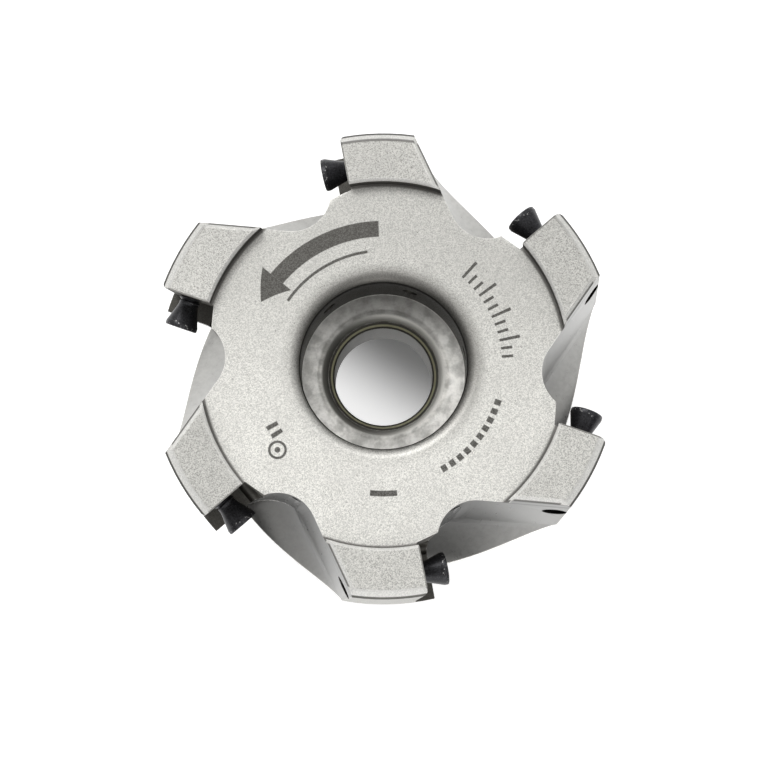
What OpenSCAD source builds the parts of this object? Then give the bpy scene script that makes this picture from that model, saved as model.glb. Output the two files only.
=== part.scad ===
// Shell-type face mill, six teeth, standing on its back face. Teeth point up (+Z).
// The origin is the centre of the back face, at the mouth of the arbor bore. Sizes are in mm.

/* [Body] */
// Outside diameter of the toothed crown
body_d = 49; // [40:0.5:80]
// Height from the back face to the tooth pads
body_h = 39.5; // [34:0.5:60]
// Diameter of the plain hub behind the teeth
hub_d = 40; // [34:0.5:70]
// Depth below the pads where the crown starts to narrow
crown_len = 12.5; // [11:0.5:20]
// Depth below the pads where the narrowing reaches the hub diameter
cone_end = 22.8; // [16:0.1:30]
// Chamfer round the back edge of the hub
hub_chamfer = 1.0; // [0.2:0.1:2]

/* [Teeth] */
// Number of teeth, gullets and insert pockets
teeth = 6; // [4:1:7]
// Angle of the first pocket face from +X
first_angle = 41; // [0:1:59]
// Height of each tooth pad above the middle of the front face
pad_step = 1.8; // [0.5:0.1:3]
// Radial width of the tooth pads
pad_w = 5.25; // [3:0.05:8]
// Chamfer on the outer front edge of the pads
pad_chamfer = 0.9; // [0.2:0.1:1.5]
// Small chamfer on the inner edge of the pads
pad_break = 0.3; // [0:0.05:0.6]
// Small chamfer on the back edge of the pads
back_break = 0.45; // [0:0.05:0.8]
// Rounding of the outer corner of each tooth, beside the seat
corner_r = 0.5; // [0.2:0.05:0.9]
// Lean of each tooth back from the radial line, in degrees
back_angle = 14; // [5:1:25]

/* [Gullets] */
// Radius at the root of each gullet
gullet_r = 4.0; // [3:0.1:6]
// Distance from the crown surface in to the centre of the root radius
gullet_in = 4.85; // [4:0.05:8]
// Step from the seat plane to the gullet side, at the front
gullet_step = 2.05; // [1.6:0.05:3]
// Lean of the gullet away from the axis, going down, in degrees
gullet_out = 3.5; // [0:0.1:12]
// Lean of the gullet to the back of the tooth, going down, in degrees
gullet_back = 6.2; // [0:0.1:12]
// Depth below the pads where the tooth backs start to curve out to the hub
runout_depth = 11.5; // [9:0.5:20]
// Radius of the curved run-out
runout_r = 14; // [8:0.5:30]

/* [Insert pockets] */
// Axial rake of the seat, in degrees
axial_rake = 6; // [0:0.5:12]
// Length of the seat along its long side
seat_len = 11.5; // [9:0.1:16]
// Width of the seat, from the crown surface to the inner wall
seat_w = 5.6; // [4:0.1:8]
// Lean of the inner wall, in degrees
wall_lean = 14; // [0:1:20]
// Radius of the relief at the inner corner of the seat
relief_r = 0.6; // [0.2:0.1:1]
// Distance of the relief's centre from the inner wall and from the lower wall
relief_in = 0.2; // [0:0.05:0.5]

/* [Insert screws] */
// Thread diameter of the screws
thread_d = 2.4; // [2:0.1:4]
// Clearance on the diameter between the thread and its hole
thread_gap = 0.1; // [0.05:0.05:0.3]
// Diameter of the screw head
head_d = 3.45; // [3:0.05:6]
// Length of the cylindrical rim of the head
rim_len = 0.5; // [0.3:0.05:1]
// Length of the cone under the rim
head_cone = 1.95; // [1:0.05:3]
// Step from the thread down to the neck under the head, on the radius
neck_step = 0.15; // [0.05:0.05:0.4]
// Length of the neck
neck_len = 0.3; // [0.1:0.05:1]
// Length of the screw over all
screw_len = 6.6; // [5:0.1:12]
// Width across the points of the six-lobe socket
socket_d = 2.3; // [1.4:0.05:3]
// Depth of the socket
socket_depth = 1.3; // [0.6:0.1:2]
// Distance from the crown surface in to the screw axis
screw_in = 2.65; // [2:0.05:5]
// Distance from the front end of the seat down to the screw axis
screw_down = 5.7; // [4:0.1:8]

/* [Arbor fit] */
// Diameter of the arbor bore
bore_d = 22; // [16:1:32]
// Depth of the arbor bore
bore_depth = 20; // [16:0.5:26]
// Chamfer at the mouth of the arbor bore
bore_chamfer = 0.8; // [0.2:0.1:1.5]
// Width of the two drive slots
slot_w = 10.4; // [8:0.1:14]
// Depth of the two drive slots
slot_depth = 6.3; // [4:0.1:9]
// Small chamfer along the mouths of the drive slots
slot_chamfer = 0.4; // [0:0.1:1]

/* [Arbor screw seat] */
// Diameter of the counterbore in the front face
counterbore_d = 17.5; // [14:0.5:24]
// Depth of the seat below the tooth pads
counterbore_depth = 9.8; // [8:0.1:14]
// Rounding of the counterbore lip
lip_r = 1.2; // [0.2:0.1:2]
// Diameter of the arbor screw hole
hole_d = 10.6; // [8:0.1:14]
// Chamfer at the upper edge of the arbor screw hole
hole_chamfer = 0.65; // [0.2:0.05:1]
// Rounding of the seat into that chamfer
seat_round = 1.1; // [0.3:0.1:2]
// Chamfer at the lower edge of the arbor screw hole
under_chamfer = 0.5; // [0.1:0.1:1]

/* [Coolant holes] */
// Diameter of the coolant holes
coolant_d = 1.4; // [1:0.1:3]
// Height of each coolant hole axis above the seat plane
coolant_y = 4.4; // [3:0.1:6]
// Depth below the pads where each coolant hole leaves the gullet wall
coolant_depth = 4.0; // [3:0.1:7]
// Depth below the pads where each coolant hole leaves the counterbore wall
coolant_start = 2.5; // [2.5:0.1:6]

/* [Hidden] */
$fn = 96;

body_r = body_d / 2;
hub_r = hub_d / 2;
hub_face = body_h - pad_step;
pad_in_r = body_r - pad_w;
pitch = 360 / teeth;
gullet_x = body_r - gullet_in;
gullet_y = gullet_step + gullet_r;
wedge = pitch + back_angle;
far = 20;
wall_x = body_r - seat_w;
screw_x = body_r - screw_in;
// Lean of the tooth backs, going down, in degrees
back_lean = atan(tan(gullet_out) * sin(wedge) + tan(gullet_back) * cos(wedge));
back_x = gullet_x - gullet_r * sin(wedge);
back_y = gullet_y + gullet_r * cos(wedge);
seat_z = body_h - counterbore_depth;
thread_hole_d = thread_d + thread_gap;
neck_r = thread_d / 2 - neck_step;
// Ends of each coolant hole, at the gullet and at the counterbore wall
coolant_x = gullet_x - gullet_r + 0.5;
coolant_in_x = sqrt(pow(counterbore_d / 2, 2) - pow(coolant_y, 2));
coolant_slope = atan((coolant_depth - coolant_start) / (coolant_x - coolant_in_x));
// Height of each screw head above its seat, as the screws stand in their holes
head_up = [3.45, 2.9, 3.4, 3.3, 3.05, 3.35];
steel = [0.72, 0.71, 0.68];
black = [0.12, 0.12, 0.12];
eps = 0.01;
over = 5;

module cutter_body() {
    color(steel)
        difference() {
            blank();
            arbor_fit();
            screw_seat();
            for (k = [0 : teeth - 1])
                rotate([0, 0, first_angle + k * pitch])
                    tooth_cuts();
        }
}

// Turned outside of the body, with the raised ring that the gullets split into pads
module blank() {
    rotate_extrude()
        polygon([
            [0, 0],
            [hub_r - hub_chamfer, 0],
            [hub_r, hub_chamfer],
            [hub_r, body_h - cone_end],
            [body_r, body_h - crown_len],
            [body_r, body_h - pad_chamfer],
            [body_r - pad_chamfer, body_h],
            [pad_in_r + pad_break, body_h],
            [pad_in_r, body_h - pad_break],
            [pad_in_r, hub_face],
            [0, hub_face]
        ]);
}

// Bore with its chamfer, and the two slots across the back face
module arbor_fit() {
    translate([0, 0, -over])
        cylinder(d = bore_d, h = bore_depth + over);
    translate([0, 0, -eps])
        cylinder(r1 = bore_d / 2 + bore_chamfer + eps, r2 = bore_d / 2, h = bore_chamfer + eps);
    translate([-body_r - over, -slot_w / 2, -over])
        cube([body_d + 2 * over, slot_w, slot_depth + over]);
    for (side = [-1, 1])
        translate([0, side * slot_w / 2, 0])
            rotate([45, 0, 0])
                cube([body_d + 2 * over, slot_chamfer * sqrt(2), slot_chamfer * sqrt(2)], center = true);
}

// Counterbore and hole for the arbor screw
module screw_seat() {
    translate([0, 0, seat_z])
        cylinder(d = counterbore_d, h = counterbore_depth + over);
    translate([0, 0, bore_depth - over])
        cylinder(d = hole_d, h = body_h);
    round_in(counterbore_d / 2, hub_face, lip_r);
    round_in(hole_d / 2 + hole_chamfer, seat_z, seat_round);
    translate([0, 0, seat_z - seat_round - hole_chamfer])
        cylinder(r1 = hole_d / 2, r2 = hole_d / 2 + hole_chamfer, h = hole_chamfer);
    translate([0, 0, seat_z - seat_round - eps])
        cylinder(r = hole_d / 2 + hole_chamfer, h = seat_round + 2 * eps);
    translate([0, 0, bore_depth - eps])
        cylinder(r1 = hole_d / 2 + under_chamfer, r2 = hole_d / 2, h = under_chamfer);
}

// Cutter that rounds the upper edge of a hole of radius r at height z
module round_in(r, z, f) {
    rotate_extrude()
        translate([r, z - f])
            difference() {
                translate([-f, 0])
                    square([2 * f, f + eps]);
                translate([f, 0])
                    circle(r = f);
            }
}

module tooth_cuts() {
    gullet();
    back_edge();
    translate([0, 0, body_h])
        rotate([-axial_rake, 0, 0])
            pocket();
    coolant_hole();
}

// Wedge with a rounded root that leans out and back, and ends on a curved run-out
module gullet() {
    difference() {
        translate([0, 0, hub_face])
            rotate([-gullet_back, -gullet_out, 0])
                translate([0, 0, -body_h])
                    linear_extrude(height = body_h + 2 * over)
                        gullet_outline();
        translate([back_x, back_y, hub_face])
            rotate([0, 0, wedge])
                rotate([-back_lean, 0, 0])
                    translate([-2 * far, 0, pad_step - runout_depth])
                        runout();
    }
}

// Metal left under the gullet, with the tooth back at y = 0 and the gullet towards -y
module runout() {
    overlap = 0.06;
    difference() {
        translate([0, -2 * far, -3 * far])
            cube([4 * far, 3 * far, 3 * far]);
        translate([-1, overlap - runout_r, 0])
            rotate([0, 90, 0])
                cylinder(r = runout_r, h = 4 * far + 2);
    }
}

// Chamfer on the back edge of the next tooth's pad
module back_edge() {
    side = back_break * sqrt(2);
    translate([back_x, back_y, hub_face])
        rotate([0, 0, wedge])
            rotate([-back_lean, 0, 0])
                translate([far / 2, 0, pad_step])
                    rotate([45, 0, 0])
                        cube([far, side, side], center = true);
}

module gullet_outline() {
    translate([gullet_x, gullet_y])
        circle(r = gullet_r);
    polygon([
        [gullet_x, gullet_y],
        [gullet_x, gullet_step],
        [gullet_x + far, gullet_step],
        [gullet_x + far, gullet_y + far],
        [back_x + far * cos(wedge), back_y + far * sin(wedge)],
        [back_x, back_y]
    ]);
}

// Insert seat, in a frame with the seat plane at y = 0 and the front edge at z = 0
module pocket() {
    rise = gullet_step + 2;
    translate([0, 0, -seat_len])
        linear_extrude(height = seat_len + over)
            polygon([
                [wall_x, 0],
                [body_r + over, 0],
                [body_r + over, rise],
                [wall_x - rise * tan(wall_lean), rise]
            ]);
    translate([body_r - corner_r, -corner_r, -seat_len])
        round_corner();
    translate([wall_x + relief_in, 0, relief_in - seat_len])
        rotate([-90, 0, 0])
            cylinder(r = relief_r, h = rise);
    translate([screw_x, 0, -screw_down])
        rotate([90, 0, 0])
            translate([0, 0, -over])
                cylinder(d = thread_hole_d, h = 4 * over);
}

// Cutter that rounds the outer corner of a tooth along its seat
module round_corner() {
    linear_extrude(height = seat_len + over)
        difference() {
            square([corner_r + over, corner_r + eps]);
            circle(r = corner_r);
        }
}

// Runs from the counterbore to the gullet, above the face of the seat
module coolant_hole() {
    translate([coolant_x, coolant_y, body_h - coolant_depth])
        rotate([0, -90 - coolant_slope, 0])
            translate([0, 0, -2])
                cylinder(d = coolant_d, h = coolant_x - coolant_in_x + 4);
}

// Screw k standing in its tapped hole, with its axis square to the seat
module insert_screw(k) {
    color(black)
        rotate([0, 0, first_angle + (k - 1) * pitch])
            translate([0, 0, body_h])
                rotate([-axial_rake, 0, 0])
                    translate([screw_x, 0, -screw_down])
                        rotate([-90, 0, 0])
                            translate([0, 0, head_up[k - 1]])
                                screw_solid();
}

// Screw with the outer end of the head at z = 0 and the tip at z = -screw_len
module screw_solid() {
    edge = 0.15;
    tip = 0.3;
    difference() {
        rotate_extrude()
            polygon([
                [0, 0],
                [head_d / 2 - edge, 0],
                [head_d / 2, -edge],
                [head_d / 2, -rim_len],
                [neck_r, -rim_len - head_cone],
                [neck_r, -rim_len - head_cone - neck_len],
                [thread_d / 2, -rim_len - head_cone - neck_len - neck_step],
                [thread_d / 2, -screw_len + tip],
                [thread_d / 2 - tip, -screw_len],
                [0, -screw_len]
            ]);
        translate([0, 0, -socket_depth])
            linear_extrude(height = socket_depth + 1)
                six_lobe();
    }
}

module six_lobe() {
    lobe_r = socket_d * 0.12;
    circle(d = socket_d * 0.74);
    for (i = [0 : 5])
        rotate([0, 0, i * 60])
            translate([socket_d / 2 - lobe_r, 0])
                circle(r = lobe_r);
}

module insert_screw_1() {
    insert_screw(1);
}

module insert_screw_2() {
    insert_screw(2);
}

module insert_screw_3() {
    insert_screw(3);
}

module insert_screw_4() {
    insert_screw(4);
}

module insert_screw_5() {
    insert_screw(5);
}

module insert_screw_6() {
    insert_screw(6);
}

cutter_body();
insert_screw_1();
insert_screw_2();
insert_screw_3();
insert_screw_4();
insert_screw_5();
insert_screw_6();
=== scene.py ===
import math

import bmesh
import bpy
from mathutils import Matrix, Vector


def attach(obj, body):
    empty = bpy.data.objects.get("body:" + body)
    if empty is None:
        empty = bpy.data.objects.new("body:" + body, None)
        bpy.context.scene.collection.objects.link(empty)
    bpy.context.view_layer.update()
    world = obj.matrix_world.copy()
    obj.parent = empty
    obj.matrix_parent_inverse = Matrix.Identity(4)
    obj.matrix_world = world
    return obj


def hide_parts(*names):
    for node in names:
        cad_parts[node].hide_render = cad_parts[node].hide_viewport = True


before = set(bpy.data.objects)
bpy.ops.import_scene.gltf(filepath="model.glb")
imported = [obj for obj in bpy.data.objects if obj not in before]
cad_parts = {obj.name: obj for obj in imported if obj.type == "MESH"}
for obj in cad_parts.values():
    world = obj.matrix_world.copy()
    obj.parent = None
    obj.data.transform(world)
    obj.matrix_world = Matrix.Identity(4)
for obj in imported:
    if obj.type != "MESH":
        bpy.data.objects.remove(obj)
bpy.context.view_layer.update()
MM = 0.001

# Sizes of the part, in millimetres and degrees
BODY_H = 39.5
HUB_FACE = 37.7
TEETH = 6
FIRST_ANGLE = 41.0
PITCH = 360.0 / TEETH
RAKE = 6.0
SCREW_X = 21.85
SCREW_DOWN = 5.7
HEAD_UP = (3.45, 2.9, 3.4, 3.3, 3.05, 3.35)

# Sizes of an insert screw, in millimetres, down from the outer end of its head
HEAD_R = 1.725
RIM_ROUND = 0.14
RIM_END = 0.5
CONE_END = 2.45
NECK_R = 1.05
NECK_END = 2.75
THREAD_END = 6.45
TIP = 6.6
TIP_R = 0.98
THREAD_PITCH = 0.45
THREAD_CREST_R = 1.19
THREAD_ROOT_R = 0.93
SOCKET_R = 1.15
SOCKET_WAVE = 0.30

# Sizes of the bevels: reach of worn edges with painted highlight, and the edge break, in millimetres and
# degrees
BODY_WEAR = 0.22
SCREW_WEAR = 0.09
EDGE_BREAK = 0.24
SHARP_ANGLE = 28.0

# Camera: distance from the pads in millimetres, tilt in degrees, lens in millimetres
VIEW_DISTANCE = 276.0
VIEW_TILT = 7.8
SENSOR = 36.0
LENS = 124.7562
SHIFT_UP = -0.0275098


# ---------------------------------------------------------------- materials

class Graph:
    """A material's node tree, built by short calls, with the places that the masks start from."""

    def __init__(self, name):
        self.mat = bpy.data.materials.new(name)
        self.mat.use_nodes = True
        self.tree = self.mat.node_tree
        self.tree.nodes.clear()
        self.out = self.tree.nodes.new("ShaderNodeOutputMaterial")
        self.place()

    def place(self):
        """Sets the position in millimetres, its radius, its angle in degrees, and two parts of the normal."""
        coord = self.node("ShaderNodeTexCoord")
        self.vec = self.scaled(coord.outputs["Object"], 1.0 / MM)
        self.x, self.y, self.z = self.node("ShaderNodeSeparateXYZ", {"Vector": self.vec}).outputs
        square = self.plus(self.times(self.x, self.x), self.times(self.y, self.y))
        self.r = self.math("SQRT", square)
        self.angle = self.times(self.math("ARCTAN2", self.y, self.x), 180.0 / math.pi)
        normal = self.node("ShaderNodeSeparateXYZ", {"Vector": coord.outputs["Normal"]})
        self.ny = normal.outputs["Y"]
        self.nz = normal.outputs["Z"]

    def node(self, kind, inputs=None, **settings):
        n = self.tree.nodes.new(kind)
        for k, v in settings.items():
            setattr(n, k, v)
        for k, v in (inputs or {}).items():
            self.put(n.inputs[k], v)
        return n

    def put(self, socket, v):
        if isinstance(v, bpy.types.NodeSocket):
            self.tree.links.new(v, socket)
        else:
            socket.default_value = v

    def math(self, op, a, b=0.0, c=0.0, clamp=False):
        n = self.node("ShaderNodeMath", {0: a, 1: b, 2: c}, operation=op, use_clamp=clamp)
        return n.outputs[0]

    def chain(self, op, first, *others):
        """One operation over a row of values, from left to right."""
        for v in others:
            first = self.math(op, first, v)
        return first

    def plus(self, *values):
        return self.chain("ADD", *values)

    def minus(self, a, b):
        return self.math("SUBTRACT", a, b)

    def times(self, *values):
        return self.chain("MULTIPLY", *values)

    def most(self, *values):
        return self.chain("MAXIMUM", *values)

    def ramp(self, v, lo, hi, out_lo, out_hi, kind="LINEAR"):
        """v from lo to hi mapped to out_lo to out_hi, and held beyond them."""
        n = self.node("ShaderNodeMapRange", {"Value": v, "From Min": lo, "From Max": hi,
                      "To Min": out_lo, "To Max": out_hi}, interpolation_type=kind)
        return n.outputs["Result"]

    def step(self, v, lo, hi, out_lo=0.0, out_hi=1.0):
        """Smooth step of v from lo to hi."""
        return self.ramp(v, lo, hi, out_lo, out_hi, "SMOOTHSTEP")

    def band(self, v, lo, hi, soft):
        """1 between lo and hi, 0 outside, with soft edges."""
        up = self.step(v, lo - soft, lo + soft)
        down = self.step(v, hi - soft, hi + soft, 1.0, 0.0)
        return self.times(up, down)

    def mix(self, fac, a, b):
        """Colour a where fac is 0, colour b where it is 1."""
        n = self.node("ShaderNodeMix", {0: fac, 6: a, 7: b}, data_type="RGBA", clamp_factor=True)
        return n.outputs[2]

    def lerp(self, fac, a, b):
        """Number a where fac is 0, number b where it is 1."""
        n = self.node("ShaderNodeMix", {0: fac, 2: a, 3: b}, data_type="FLOAT", clamp_factor=True)
        return n.outputs[0]

    def scaled(self, vector, factor):
        n = self.node("ShaderNodeVectorMath", {0: vector, "Scale": factor}, operation="SCALE")
        return n.outputs[0]

    def noise(self, vec, scale, detail=3.0, rough=0.5):
        n = self.node("ShaderNodeTexNoise", {"Vector": vec, "Scale": scale, "Detail": detail,
                      "Roughness": rough})
        return n.outputs["Fac"]

    def voronoi(self, vec, scale, out="Distance"):
        n = self.node("ShaderNodeTexVoronoi", {"Vector": vec, "Scale": scale}, feature="F1")
        return n.outputs[out]

    def stretched(self, sx, sy, sz):
        n = self.node("ShaderNodeMapping", {"Vector": self.vec, "Scale": (sx, sy, sz)})
        return n.outputs["Vector"]

    def edge(self, radius, lo, hi):
        """1 on edges, where the normal of a rounded edge leans away from the true one."""
        bevel = self.node("ShaderNodeBevel", {"Radius": radius * MM}, samples=6)
        geometry = self.node("ShaderNodeNewGeometry")
        dot = self.node("ShaderNodeVectorMath", {0: bevel.outputs["Normal"],
                        1: geometry.outputs["Normal"]}, operation="DOT_PRODUCT")
        return self.step(dot.outputs["Value"], lo, hi)

    def steel(self, color, roughness, height, strength, distance, metallic):
        bump = self.node("ShaderNodeBump", {"Height": height, "Strength": strength,
                         "Distance": distance * MM})
        n = self.node("ShaderNodeBsdfPrincipled", {"Base Color": color, "Roughness": roughness,
                      "Metallic": metallic, "Normal": bump.outputs["Normal"]})
        self.tree.links.new(n.outputs[0], self.out.inputs[0])


def rgb(r, g, b):
    return (r, g, b, 1.0)


def marks(g):
    """Plain laser marks on the hub face: a turning arrow, rows of ticks, a ring with a dot, and bars."""
    def arc(r0, r1, a0, a1):
        return g.times(g.band(g.r, r0, r1, 0.05), g.band(g.angle, a0, a1, 0.25))

    def ticks(inner, pitch, duty):
        t = g.math("PINGPONG", g.angle, pitch / 2)
        return g.times(inner, g.step(t, duty, duty - 0.22))

    def distance_to(degrees, radius):
        a = math.radians(degrees)
        turn = g.times(g.angle, math.pi / 180)
        dx = g.minus(g.times(g.r, g.math("COSINE", turn)), radius * math.cos(a))
        dy = g.minus(g.times(g.r, g.math("SINE", turn)), radius * math.sin(a))
        return g.math("SQRT", g.plus(g.times(dx, dx), g.times(dy, dy)))

    # turning arrow: a bow with a head that narrows with the angle, and a thin arc inside it
    bow_end = 140.8
    tip = 153.0
    parts = [arc(13.6, 15.3, 92, 141)]
    half = g.ramp(g.angle, bow_end, tip, 2.0, 0.0)
    off = g.math("ABSOLUTE", g.minus(g.r, 14.45))
    parts.append(g.times(g.step(off, half, g.minus(half, 0.1)), g.band(g.angle, bow_end, tip, 0.2)))
    parts.append(arc(11.95, 12.25, 98, 146))
    # ticks with longer ones between them, and dashes
    parts.append(ticks(arc(12.4, 13.6, 3, 51), 4.0, 0.75))
    parts.append(ticks(arc(12.4, 14.6, 3, 51), 12.0, 0.75))
    parts.append(ticks(arc(12.2, 12.9, -63, -17), 4.6, 1.5))
    # a ring with a dot in it, two short bars, and a long one
    ring = distance_to(-141.0, 14.2)
    parts.append(g.band(ring, 0.72, 0.98, 0.04))
    parts.append(g.step(ring, 0.34, 0.26))
    parts.append(arc(12.6, 13.9, -152, -150))
    parts.append(arc(12.6, 13.9, -148, -146))
    parts.append(arc(13.2, 13.8, -96, -84))
    return g.most(*parts)


def tooth_place(g):
    """The six teeth folded onto one: out along the pocket, in front of its seat, and up the seat."""
    turn = g.math("WRAP", g.minus(g.angle, FIRST_ANGLE), PITCH / 2, -PITCH / 2)
    turn = g.times(turn, math.pi / 180.0)
    out = g.times(g.r, g.math("COSINE", turn))
    along = g.times(g.r, g.math("SINE", turn))
    up = g.minus(g.z, BODY_H)
    sin_rake = math.sin(math.radians(RAKE))
    cos_rake = math.cos(math.radians(RAKE))
    seat_y = g.minus(g.times(along, cos_rake), g.times(up, sin_rake))
    seat_z = g.plus(g.times(along, sin_rake), g.times(up, cos_rake))
    return out, seat_y, seat_z


class BodyMasks:
    """Masks of the body's surfaces, 1 on a surface and 0 off it. Limits are in millimetres."""

    def __init__(self, g):
        self.hub_and_teeth(g)
        self.pockets(g)
        self.gullets(g)
        self.hole(g)
        # dark gathers every mask that carries painted shade; no bright edge is drawn there
        parts = (self.step_wall_shade, self.corner_shade, self.rim, self.tapped, g.times(self.pocket, 0.9))
        self.dark = g.most(*parts, self.wall, self.drilled, self.lip_line, self.flank_edge)

    def hub_and_teeth(self, g):
        r, z, nz = g.r, g.z, g.nz
        side = g.step(nz, 0.75, 0.45)
        self.face = g.times(g.band(z, HUB_FACE - 0.1, HUB_FACE + 0.1, 0.05), g.step(nz, 0.95, 0.99))
        self.step_wall_shade = g.times(g.band(r, 19.05, 19.45, 0.03), side, g.step(z, 37.6, 37.75))
        at_foot = g.band(z, HUB_FACE - 0.1, HUB_FACE + 0.15, 0.05)
        self.corner_shade = g.times(g.step(r, 18.80, 19.10), g.step(r, 19.4, 19.3), at_foot)
        self.pad = g.times(g.step(z, 39.3, 39.42), g.step(nz, 0.9, 0.98))
        self.crown = g.times(g.step(r, 24.1, 24.2), g.step(nz, 0.62, 0.5))
        self.rim = g.times(g.step(r, 24.22, 24.32), g.band(z, 38.2, 38.95, 0.06))
        chamfer = g.times(g.step(z, 38.45, 38.6), g.band(nz, 0.62, 0.93, 0.03))
        self.chamfer = g.times(chamfer, g.minus(1.0, self.rim))
        self.top = g.step(z, 39.2, 39.35)
        self.border = g.times(g.band(r, 23.48, 23.80, 0.10), self.top)
        self.outline = g.times(g.band(z, 39.00, 39.16, 0.03), g.band(r, 19.6, 23.5, 0.1))

    def pockets(self, g):
        out, seat_y, seat_z = tooth_place(g)
        in_plan = g.times(g.band(out, 15.0, 25.5, 0.1), g.band(seat_y, -0.04, 2.6, 0.03))
        in_height = g.times(g.band(seat_z, -11.9, -0.1, 0.04), g.minus(1.0, self.face))
        self.pocket = g.times(in_plan, in_height)
        across = g.minus(out, SCREW_X)
        above = g.plus(seat_z, SCREW_DOWN)
        to_screw = g.math("SQRT", g.plus(g.times(across, across), g.times(above, above)))
        behind = g.times(g.band(g.z, 28.0, 38.6, 0.1), g.step(seat_y, 0.2, 0.1))
        self.tapped = g.times(g.step(to_screw, 1.34, 1.27), behind)
        self.front = g.times(g.band(seat_y, -0.14, 0.02, 0.03), self.top, g.step(g.r, 19.3, 19.5))

    def gullets(self, g):
        r, z = g.r, g.z
        outside = g.ramp(z, 16.7, 27.0, 20.0, 24.5)
        flank = g.times(g.step(r, 19.45, 19.6), g.step(g.nz, 0.55, 0.45), g.step(z, 39.2, 39.1))
        below = g.most(g.step(z, 37.68, 37.6), flank)
        inward = g.step(g.minus(outside, r), 0.05, 0.12)
        self.gullet = g.times(inward, below, g.step(r, 9.8, 10.2), g.step(z, 15.5, 15.8))
        self.flank_edge = g.times(flank, g.step(z, 38.62, 38.8))
        self.gullet_edge_shade = g.times(self.gullet, g.most(g.band(z, 37.3, 37.8, 0.2), self.flank_edge))

    def hole(self, g):
        """Counterbore, its lip, the screw seat with its lead and ring, and what lies below them."""
        r, z = g.r, g.z
        at_seat = g.band(z, 28.4, 29.9, 0.1)
        self.wall = g.times(g.band(r, 8.4, 9.0, 0.08), g.band(z, 29.75, 36.6, 0.15))
        self.seat = g.times(g.band(r, 6.6, 8.74, 0.15), at_seat)
        self.lead = g.times(g.band(r, 5.9, 6.6, 0.15), at_seat)
        self.lead_and_edge = g.times(g.band(r, 5.9, 7.1, 0.15), at_seat)
        self.ring = g.times(g.band(r, 5.2, 5.97, 0.03), g.band(z, 27.85, 28.75, 0.1))
        self.inside = g.times(g.step(r, 11.3, 11.1), g.step(z, 27.9, 27.7))
        self.drilled = g.times(g.band(r, 9.05, 15.7, 0.1), g.band(z, 32.0, 36.95, 0.05))
        self.lip = g.times(g.step(r, 11.2, 9.1), g.step(z, 36.2, 36.5))
        self.lip_line = g.times(g.band(r, 8.68, 8.88, 0.05), g.step(z, 36.2, 36.4))


def blasted(g, m, skin, grain, speck):
    """Blasted skin: grain, specks, pits, clouding; painted shade towards +y and on the low pads."""
    pits = g.times(g.step(g.voronoi(skin, 2.1), 0.20, 0.10), g.step(g.noise(skin, 0.7, 2.0), 0.52, 0.60))
    dark_speck = g.times(g.step(speck, 0.22, 0.08), g.step(g.noise(g.vec, 1.9, 2.0), 0.52, 0.62))
    cloud = g.noise(g.vec, 0.16, 3.0, 0.55)
    color = g.mix(g.step(grain, 0.15, 0.85), rgb(0.47, 0.465, 0.44), rgb(0.78, 0.77, 0.73))
    color = g.mix(g.times(dark_speck, 0.6), color, rgb(0.16, 0.15, 0.14))
    color = g.mix(g.times(pits, 0.55), color, rgb(0.14, 0.13, 0.12))
    color = g.mix(g.step(cloud, 0.40, 0.75, 0.0, 0.25), color, rgb(0.50, 0.49, 0.465))
    dark_grains = g.times(m.pad, g.step(grain, 0.42, 0.10, 0.0, 0.55))
    color = g.mix(dark_grains, color, rgb(0.30, 0.295, 0.275))
    # painted shade: the pads darken towards -y and at the lower left, and the whole skin towards +y
    low_left_shade = g.times(g.step(g.x, -8.0, -17.0), g.step(g.y, 0.0, -8.0, 0.0, 0.12))
    low_pad_shade = g.times(m.pad, g.plus(g.step(g.y, 8.0, -8.0, 0.0, 0.13), low_left_shade))
    shade = g.minus(g.minus(1.0, low_pad_shade), g.times(m.pad, 0.03))
    return g.scaled(color, g.times(g.step(g.y, -12.0, 15.0, 1.09, 0.77), shade))


def milled(g, lines):
    """Smooth gullets, faint tool lines; painted shade facing -y, towards their roots and in two corners."""
    # painted shade: darker where the surface faces -y and towards the roots of the gullets
    away = g.step(g.ny, -0.9, 0.35)
    out = g.step(g.r, 15.5, 24.0)
    tone = g.plus(g.lerp(away, 0.08, 0.32), g.times(out, g.lerp(away, 0.20, 0.10)))
    # painted shade in two corners of the gullets
    left = g.times(g.step(g.x, 4.0, -4.0), g.step(g.y, -8.0, -14.0), g.step(g.r, 25.0, 21.5))
    right = g.times(g.step(g.x, 18.0, 6.0), g.step(g.y, -13.0, -19.0), g.step(g.x, 0.0, 4.0))
    tone = g.times(tone, g.minus(1.0, g.times(left, 0.50)), g.minus(1.0, g.times(right, 0.70)))
    tone = g.times(tone, g.step(lines, 0.3, 0.7, 0.93, 1.07))
    n = g.node("ShaderNodeCombineColor", {"Red": tone, "Green": g.times(tone, 0.99),
               "Blue": g.times(tone, 0.95)})
    return n.outputs[0]


def tooth_tones(g, m, color, grain):
    """Crown, chamfers with painted highlight; painted shade on rim, gullet edges, hub-to-teeth step."""
    color = g.mix(g.times(m.crown, 0.5), color, rgb(0.24, 0.235, 0.22))
    # painted shade: dark lines at the outer rim, in the foot of the step and along the gullet edges
    color = g.mix(g.times(m.rim, 0.9), color, rgb(0.07, 0.068, 0.062))
    # polished chamfers with a painted highlight, stronger towards -y
    chamfer_polish_and_highlight = g.mix(grain, rgb(0.62, 0.615, 0.59), rgb(0.86, 0.85, 0.82))
    color = g.mix(g.times(m.chamfer, g.step(g.y, -10.0, 12.0, 0.75, 0.5)), color, chamfer_polish_and_highlight)
    color = g.mix(g.times(m.corner_shade, 0.85), color, rgb(0.085, 0.08, 0.073))
    color = g.mix(g.times(m.gullet_edge_shade, 0.8), color, rgb(0.05, 0.048, 0.044))
    # painted shade on the step wall between hub face and teeth
    return g.mix(m.step_wall_shade, color, rgb(0.07, 0.066, 0.06))


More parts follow.
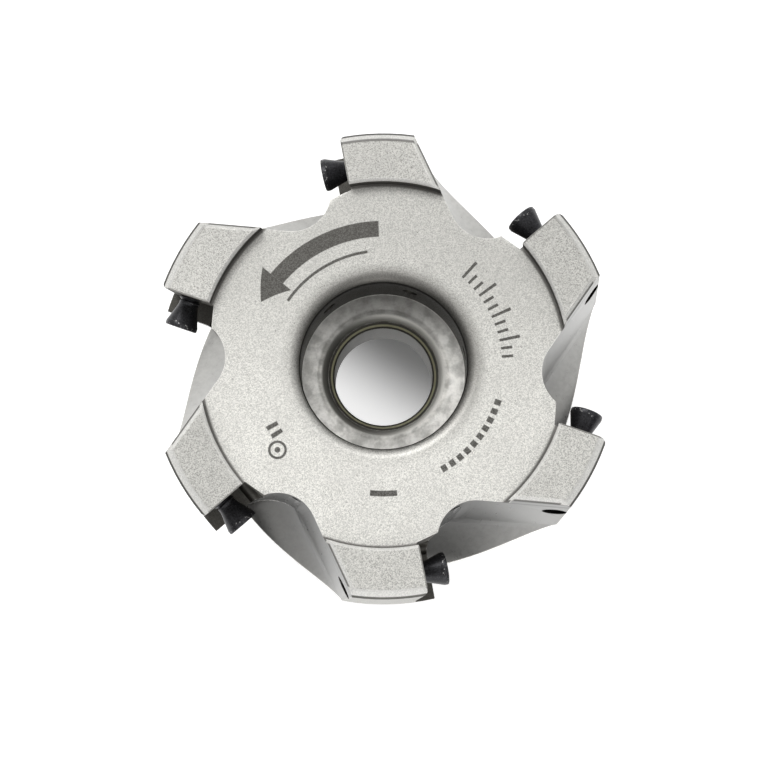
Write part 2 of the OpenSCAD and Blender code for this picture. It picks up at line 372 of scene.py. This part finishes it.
def hole_tones(g, m, color, smudge):
    """Lip, wall, coolant holes, smudged seat: painted light and shade; then the ring and bore below them."""
    # painted shade on the lip, stronger towards +x+y, and a painted shade line at its edge
    lit = g.plus(g.times(g.x, 0.45), g.times(g.y, 0.89))
    lip = g.times(m.lip, g.step(lit, -9.0, 7.0, 0.16, 0.78))
    color = g.mix(lip, color, rgb(0.10, 0.095, 0.085))
    color = g.mix(m.lip_line, color, rgb(0.030, 0.028, 0.024))
    # painted shade: the coolant holes are painted near black
    color = g.mix(m.drilled, color, rgb(0.03, 0.029, 0.027))
    turned = g.noise(g.stretched(0.12, 0.12, 5.0), 1.0, 3.0, 0.6)
    # counterbore wall: turned marks, painted near black as shade
    color = g.mix(m.wall, color, g.mix(turned, rgb(0.022, 0.021, 0.018), rgb(0.05, 0.047, 0.040)))
    smudges = g.mix(g.step(smudge, 0.3, 0.7), rgb(0.34, 0.335, 0.315), rgb(0.66, 0.65, 0.62))
    # painted light: the seat grows brighter away from x = 0
    seat_side_light = g.step(g.math("ABSOLUTE", g.x), 2.0, 8.0, 1.0, 1.38)
    color = g.mix(m.seat, color, g.scaled(smudges, seat_side_light))
    # painted highlight and shade on the rounded lead, bright towards +x
    lead_lit_side = g.step(g.plus(g.times(g.x, 0.92), g.times(g.y, 0.30)), -5.0, 4.5)
    color = g.mix(m.lead, color, g.mix(lead_lit_side, rgb(0.20, 0.196, 0.18), rgb(0.80, 0.79, 0.75)))
    # painted shadow on the +y part of the seat
    far_seat_shadow = g.times(m.seat, g.step(g.y, 1.0, 8.0), 0.5)
    color = g.mix(far_seat_shadow, color, rgb(0.15, 0.145, 0.135))
    color = g.mix(m.ring, color, rgb(0.13, 0.125, 0.11))
    color = g.mix(g.times(m.ring, g.band(g.r, 5.48, 5.68, 0.05)), color, rgb(0.72, 0.70, 0.50))
    bore = g.mix(turned, rgb(0.15, 0.148, 0.142), rgb(0.24, 0.238, 0.23))
    return g.mix(g.times(m.inside, 0.8), color, bore)


def pocket_tones(g, m, color, grain, lines):
    # painted shade: pocket walls, their floors and the tapped holes are painted near black
    color = g.mix(m.pocket, color, g.mix(lines, rgb(0.06, 0.056, 0.048), rgb(0.12, 0.113, 0.10)))
    floor = g.mix(grain, rgb(0.10, 0.095, 0.085), rgb(0.17, 0.165, 0.15))
    color = g.mix(g.times(m.pocket, g.step(g.nz, 0.8, 0.95)), color, floor)
    return g.mix(m.tapped, color, rgb(0.025, 0.024, 0.022))


def pad_lines(g, m, color):
    """Painted shade: dark lines along the front and outer edges of the pads and under their chamfers."""
    color = g.mix(g.times(m.front, 0.7), color, rgb(0.09, 0.087, 0.08))
    # the outer line is painted darker towards +y
    border = g.times(m.border, g.step(g.y, 10.0, 21.0, 0.12, 0.85))
    color = g.mix(border, color, rgb(0.10, 0.096, 0.09))
    return g.mix(g.times(m.outline, 0.75), color, rgb(0.08, 0.077, 0.07))


def body_material():
    g = Graph("body_steel")
    m = BodyMasks(g)
    # fine grain of the blasted skin, specks, and the lines that the mill leaves in the gullets
    mapping = g.node("ShaderNodeMapping", {"Vector": g.vec, "Rotation": (0.7, 0.5, 0.3)})
    skin = mapping.outputs["Vector"]
    cells = g.node("ShaderNodeSeparateColor", {"Color": g.voronoi(skin, 11.3, "Color")})
    grain = g.lerp(0.30, cells.outputs[0], g.step(g.noise(skin, 7.7, 3.0, 0.75), 0.3, 0.7))
    speck = g.voronoi(g.vec, 3.4)
    lines = g.noise(g.stretched(1.6, 1.6, 0.10), 1.2, 3.0, 0.6)
    smudge = g.noise(g.vec, 0.75, 4.0, 0.6)
    color = g.mix(m.gullet, blasted(g, m, skin, grain, speck), milled(g, lines))
    color = tooth_tones(g, m, color, grain)
    color = hole_tones(g, m, color, smudge)
    color = pocket_tones(g, m, color, grain, lines)
    # laser marks on the hub face
    mark = g.times(m.face, marks(g), g.step(grain, 0.2, 0.75, 0.98, 0.86))
    color = g.mix(mark, color, rgb(0.07, 0.067, 0.061))
    # wear and painted highlight: bright, slightly polished edges, kept off the painted shade
    wear_and_highlight = g.times(g.edge(BODY_WEAR, 0.985, 0.90), g.step(g.noise(g.vec, 1.2, 3.0), 0.25, 0.6))
    wear_and_highlight = g.times(wear_and_highlight, g.math("SUBTRACT", 1.0, m.dark, clamp=True))
    color = g.mix(g.times(wear_and_highlight, 0.7), color, rgb(0.80, 0.79, 0.76))
    color = pad_lines(g, m, color)
    rough = g.lerp(grain, 0.42, 0.58)
    rough = g.lerp(m.gullet, rough, g.lerp(lines, 0.24, 0.34))
    rough = g.lerp(m.pocket, rough, 0.68)
    rough = g.lerp(m.seat, rough, g.lerp(smudge, 0.28, 0.5))
    rough = g.lerp(m.lead_and_edge, rough, 0.66)
    rough = g.lerp(g.times(wear_and_highlight, 0.6), rough, 0.26)
    metal = g.lerp(m.chamfer, 1.0, 0.25)
    height = g.lerp(m.gullet, g.plus(grain, g.times(speck, 0.35)), g.times(lines, 0.4))
    g.steel(color, rough, height, 0.30, 0.035, metal)
    return g.mat


def screw_material():
    g = Graph("screw_oxide")
    grain = g.noise(g.vec, 7.0, 4.0, 0.6)
    patch = g.noise(g.vec, 1.1, 3.0, 0.6)
    color = g.mix(g.step(grain, 0.3, 0.7), rgb(0.012, 0.012, 0.013), rgb(0.045, 0.045, 0.050))
    # bright steel: oxide rubbed off at edges and nicks; painted highlights on edges and glints by the head's
    # end
    wear_and_highlight = g.times(g.edge(SCREW_WEAR, 0.97, 0.80), g.step(patch, 0.38, 0.58))
    nick = g.times(g.step(g.voronoi(g.vec, 2.6), 0.16, 0.05), g.step(patch, 0.50, 0.60))
    painted_glint = g.times(g.step(g.z, -0.95, -0.45), g.step(g.noise(g.vec, 4.1, 2.0, 0.7), 0.63, 0.68))
    color = g.mix(g.most(g.times(wear_and_highlight, 0.75), nick, painted_glint), color, rgb(0.36, 0.355, 0.345))
    g.steel(color, g.lerp(grain, 0.26, 0.44), grain, 0.25, 0.03, 0.55)
    return g.mat


def paper_material():
    """White paper that glows evenly; under the bore that stands on it, painted light fades to painted shade.
    """
    g = Graph("floor_paper")
    fibre = g.noise(g.vec, 2.2, 3.0, 0.6)
    paper = g.mix(fibre, rgb(0.79, 0.79, 0.79), rgb(0.81, 0.81, 0.81))
    glow = g.step(g.plus(g.times(g.x, 0.55), g.times(g.y, 0.83)), -2.8, 7.4, 0.80, 0.09)
    glow = g.lerp(g.step(g.r, 12.0, 15.0), glow, 0.50)
    n = g.node("ShaderNodeBsdfPrincipled", {"Base Color": paper, "Roughness": 0.9,
               "Specular IOR Level": 0.0, "Emission Color": rgb(1.0, 1.0, 1.0),
               "Emission Strength": glow})
    g.tree.links.new(n.outputs[0], g.out.inputs[0])
    return g.mat


# ---------------------------------------------------------------- screws

def ring_of_points(bm, radius, z, seg):
    """A ring of points at height z; the radius is a number or a function of the angle."""
    row = []
    for i in range(seg):
        a = 2 * math.pi * i / seg
        rr = radius(a) if callable(radius) else radius
        row.append(bm.verts.new((rr * math.cos(a) * MM, rr * math.sin(a) * MM, z * MM)))
    return row


def revolve(bm, rings, seg):
    """Rings of (radius, z) joined by quads; returns the rings of points."""
    made = [ring_of_points(bm, radius, z, seg) for radius, z in rings]
    for lo, hi in zip(made, made[1:]):
        for i in range(seg):
            j = (i + 1) % seg
            bm.faces.new((lo[i], lo[j], hi[j], hi[i]))
    return made


def socket(scale):
    """Radius of the six-lobe socket as a function of the angle."""
    def radius(a):
        return scale * SOCKET_R - scale * SOCKET_WAVE * (0.5 - 0.5 * math.cos(6 * a)) ** 0.85
    return radius


def head_rings():
    """Rings of the head, from the middle of the socket floor over the rim to the end of the neck."""
    # socket floor, its walls, and the lead-in at the mouth
    rings = [(0.02, -1.52), (0.45, -1.42), (socket(0.90), -1.30), (socket(0.97), -1.27)]
    rings += [(socket(1.0), -1.15), (socket(1.0), -0.09), (socket(1.03), -0.035), (1.24, -0.004)]
    # flat end of the head and the rounded rim
    rings.append((1.45, 0.0))
    for i in range(5):
        t = math.radians(90 - 22.5 * i)
        rings.append((HEAD_R - RIM_ROUND + RIM_ROUND * math.cos(t), RIM_ROUND * (math.sin(t) - 1)))
    rings.append((HEAD_R, -RIM_END + 0.03))
    rings.append((HEAD_R - 0.012, -RIM_END))
    # countersunk cone and the short curve into the neck
    cone_r = HEAD_R - 0.03
    cone_top = RIM_END + 0.03
    for i in range(1, 9):
        t = i / 9.0
        rings.append((cone_r + (NECK_R - cone_r) * t, -cone_top - (CONE_END - cone_top) * t))
    rings.append((NECK_R + 0.02, -CONE_END - 0.01))
    rings.append((NECK_R, -CONE_END - 0.08))
    rings.append((NECK_R, -NECK_END))
    return rings


def thread_radius(z, frac):
    """Radius of the thread at height z and part frac of a turn, run out at both of its ends."""
    if z <= -THREAD_END:
        return TIP_R
    phase = ((-NECK_END - z) / THREAD_PITCH + frac) % 1.0
    height = min(1.0, max(0.0, (abs(phase * 2 - 1) - 0.18) / 0.66))
    radius = THREAD_ROOT_R + (THREAD_CREST_R - THREAD_ROOT_R) * height
    fade_in = min(1.0, (-NECK_END - z) / 0.35)
    fade_out = min(1.0, (z + THREAD_END) / 0.30)
    return min(NECK_R + (radius - NECK_R) * fade_in, TIP_R + 0.22 * fade_out)


def add_thread(bm, seg):
    """Thread surface: its rows follow the helix, and are held inside the shank's length."""
    per_pitch = 9
    rows = int(((THREAD_END - NECK_END) / THREAD_PITCH + 2) * per_pitch)
    grid = []
    for j in range(rows + 1):
        row = []
        for i in range(seg):
            frac = i / seg
            z = -NECK_END - (j / per_pitch - frac) * THREAD_PITCH
            z = min(-NECK_END, max(-THREAD_END, z))
            rr = thread_radius(z, frac)
            a = 2 * math.pi * frac
            row.append(bm.verts.new((rr * math.cos(a) * MM, rr * math.sin(a) * MM, z * MM)))
        grid.append(row)
    for j in range(rows):
        for i in range(seg - 1):
            bm.faces.new((grid[j][i], grid[j][i + 1], grid[j + 1][i + 1], grid[j + 1][i]))
    # the seam, where the last point of a row meets the first point of the row one pitch before it
    last = seg - 1
    bm.faces.new((grid[per_pitch - 1][last], grid[per_pitch][last], grid[0][0]))
    for k in range(per_pitch, rows):
        j = k - per_pitch
        bm.faces.new((grid[k][last], grid[k + 1][last], grid[j + 1][0], grid[j][0]))


def screw_mesh(name):
    """Insert screw along z, with the outer end of its head at z = 0."""
    seg = 72
    bm = bmesh.new()
    head = revolve(bm, head_rings(), seg)
    centre = bm.verts.new((0, 0, -1.53 * MM))
    for i in range(seg):
        bm.faces.new((head[0][(i + 1) % seg], head[0][i], centre))
    add_thread(bm, seg)
    # the point: a short chamfer and a flat end
    tip = revolve(bm, [(TIP_R, -THREAD_END), (0.90, -THREAD_END - 0.10), (0.80, -TIP), (0.4, -TIP)], seg)
    end = bm.verts.new((0, 0, -TIP * MM))
    for i in range(seg):
        bm.faces.new((tip[-1][i], tip[-1][(i + 1) % seg], end))
    bmesh.ops.remove_doubles(bm, verts=bm.verts, dist=0.004 * MM)
    bmesh.ops.recalc_face_normals(bm, faces=bm.faces)
    me = bpy.data.meshes.new(name)
    bm.to_mesh(me)
    bm.free()
    return me


def screw_place(k):
    """Turns and moves a screw from its own frame to its tapped hole, in the frame of the part."""
    m = Matrix.Rotation(math.radians(FIRST_ANGLE + k * PITCH), 4, "Z")
    m = m @ Matrix.Translation((0, 0, BODY_H * MM))
    m = m @ Matrix.Rotation(math.radians(-RAKE), 4, "X")
    m = m @ Matrix.Translation((SCREW_X * MM, 0, -SCREW_DOWN * MM))
    m = m @ Matrix.Rotation(math.radians(-90), 4, "X")
    return m @ Matrix.Translation((0, 0, HEAD_UP[k] * MM))


def add_screws():
    shared = screw_mesh("screw")
    shared.materials.append(screw_material())
    shared.shade_smooth()
    for k in range(TEETH):
        o = bpy.data.objects.new("screw_detail_%d" % (k + 1), shared.copy())
        bpy.context.scene.collection.objects.link(o)
        o.matrix_world = screw_place(k)
        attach(o, "screw_%d" % (k + 1))
        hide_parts("insert_screw_%d" % (k + 1))


# ---------------------------------------------------------------- body

def dress_body():
    """Material of the cutter body, and modifiers that break its edges and smooth its shading."""
    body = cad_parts["cutter_body"]
    body.data.materials.clear()
    body.data.materials.append(body_material())
    weld = body.modifiers.new("weld", "WELD")
    weld.merge_threshold = 0.001 * MM
    bevel = body.modifiers.new("edge_break", "BEVEL")
    bevel.width = EDGE_BREAK * MM
    bevel.segments = 3
    bevel.limit_method = "ANGLE"
    bevel.angle_limit = math.radians(SHARP_ANGLE)
    bevel.harden_normals = False
    normals = body.modifiers.new("normals", "WEIGHTED_NORMAL")
    normals.keep_sharp = False
    normals.weight = 50


# ---------------------------------------------------------------- stage

def stage():
    """A sheet of paper just under the part."""
    bm = bmesh.new()
    half = 3.0
    corners = ((-half, -half), (half, -half), (half, half), (-half, half))
    bm.faces.new([bm.verts.new((x, y, 0)) for x, y in corners])
    me = bpy.data.meshes.new("floor")
    bm.to_mesh(me)
    bm.free()
    floor = bpy.data.objects.new("floor", me)
    bpy.context.scene.collection.objects.link(floor)
    floor.location.z = -0.02 * MM
    me.materials.append(paper_material())


def studio_world():
    """White surroundings, brightest overhead and dim low on the near side."""
    world = bpy.data.worlds.new("studio")
    bpy.context.scene.world = world
    world.use_nodes = True
    tree = world.node_tree
    background = tree.nodes["Background"]
    coord = tree.nodes.new("ShaderNodeTexCoord")
    parts = tree.nodes.new("ShaderNodeSeparateXYZ")
    tree.links.new(coord.outputs["Generated"], parts.inputs[0])

    def ramp(part, lo, hi, out_lo, out_hi):
        n = tree.nodes.new("ShaderNodeMapRange")
        n.interpolation_type = "SMOOTHSTEP"
        tree.links.new(parts.outputs[part], n.inputs["Value"])
        values = {"From Min": lo, "From Max": hi, "To Min": out_lo, "To Max": out_hi}
        for k, v in values.items():
            n.inputs[k].default_value = v
        return n

    low = ramp("Y", -0.55, 0.85, 0.05, 0.85)
    high = ramp("Z", 0.30, 0.88, 0.0, 0.93)
    tree.links.new(low.outputs["Result"], high.inputs["To Min"])
    tree.links.new(high.outputs["Result"], background.inputs["Strength"])
    background.inputs["Color"].default_value = rgb(1.0, 1.0, 1.0)


def softbox(name, loc, target, size, power):
    lamp = bpy.data.lights.new(name, "AREA")
    lamp.shape = "SQUARE"
    lamp.size = size
    lamp.energy = power
    o = bpy.data.objects.new(name, lamp)
    bpy.context.scene.collection.objects.link(o)
    o.location = loc
    o.rotation_euler = (Vector(target) - Vector(loc)).to_track_quat("-Z", "Y").to_euler()


def camera():
    cam = bpy.data.cameras.new("camera")
    o = bpy.data.objects.new("camera", cam)
    bpy.context.scene.collection.objects.link(o)
    bpy.context.scene.camera = o
    dist = VIEW_DISTANCE * MM
    tilt = math.radians(VIEW_TILT)
    o.location = (0, -dist * math.sin(tilt), BODY_H * MM + dist * math.cos(tilt))
    o.rotation_euler = (tilt, 0, 0)
    cam.sensor_width = SENSOR
    cam.lens = LENS
    cam.shift_y = SHIFT_UP
    cam.clip_start = 0.01
    cam.clip_end = 20.0


camera()
studio_world()
softbox("softbox_key", (-0.14, 0.26, 0.42), (0, 0, 0.03), 0.20, 0.82)
softbox("softbox_fill", (0.02, -0.40, 0.16), (0, 0, 0.035), 0.22, 0.42)
stage()
bpy.context.scene.view_settings.view_transform = "Standard"
dress_body()
add_screws()
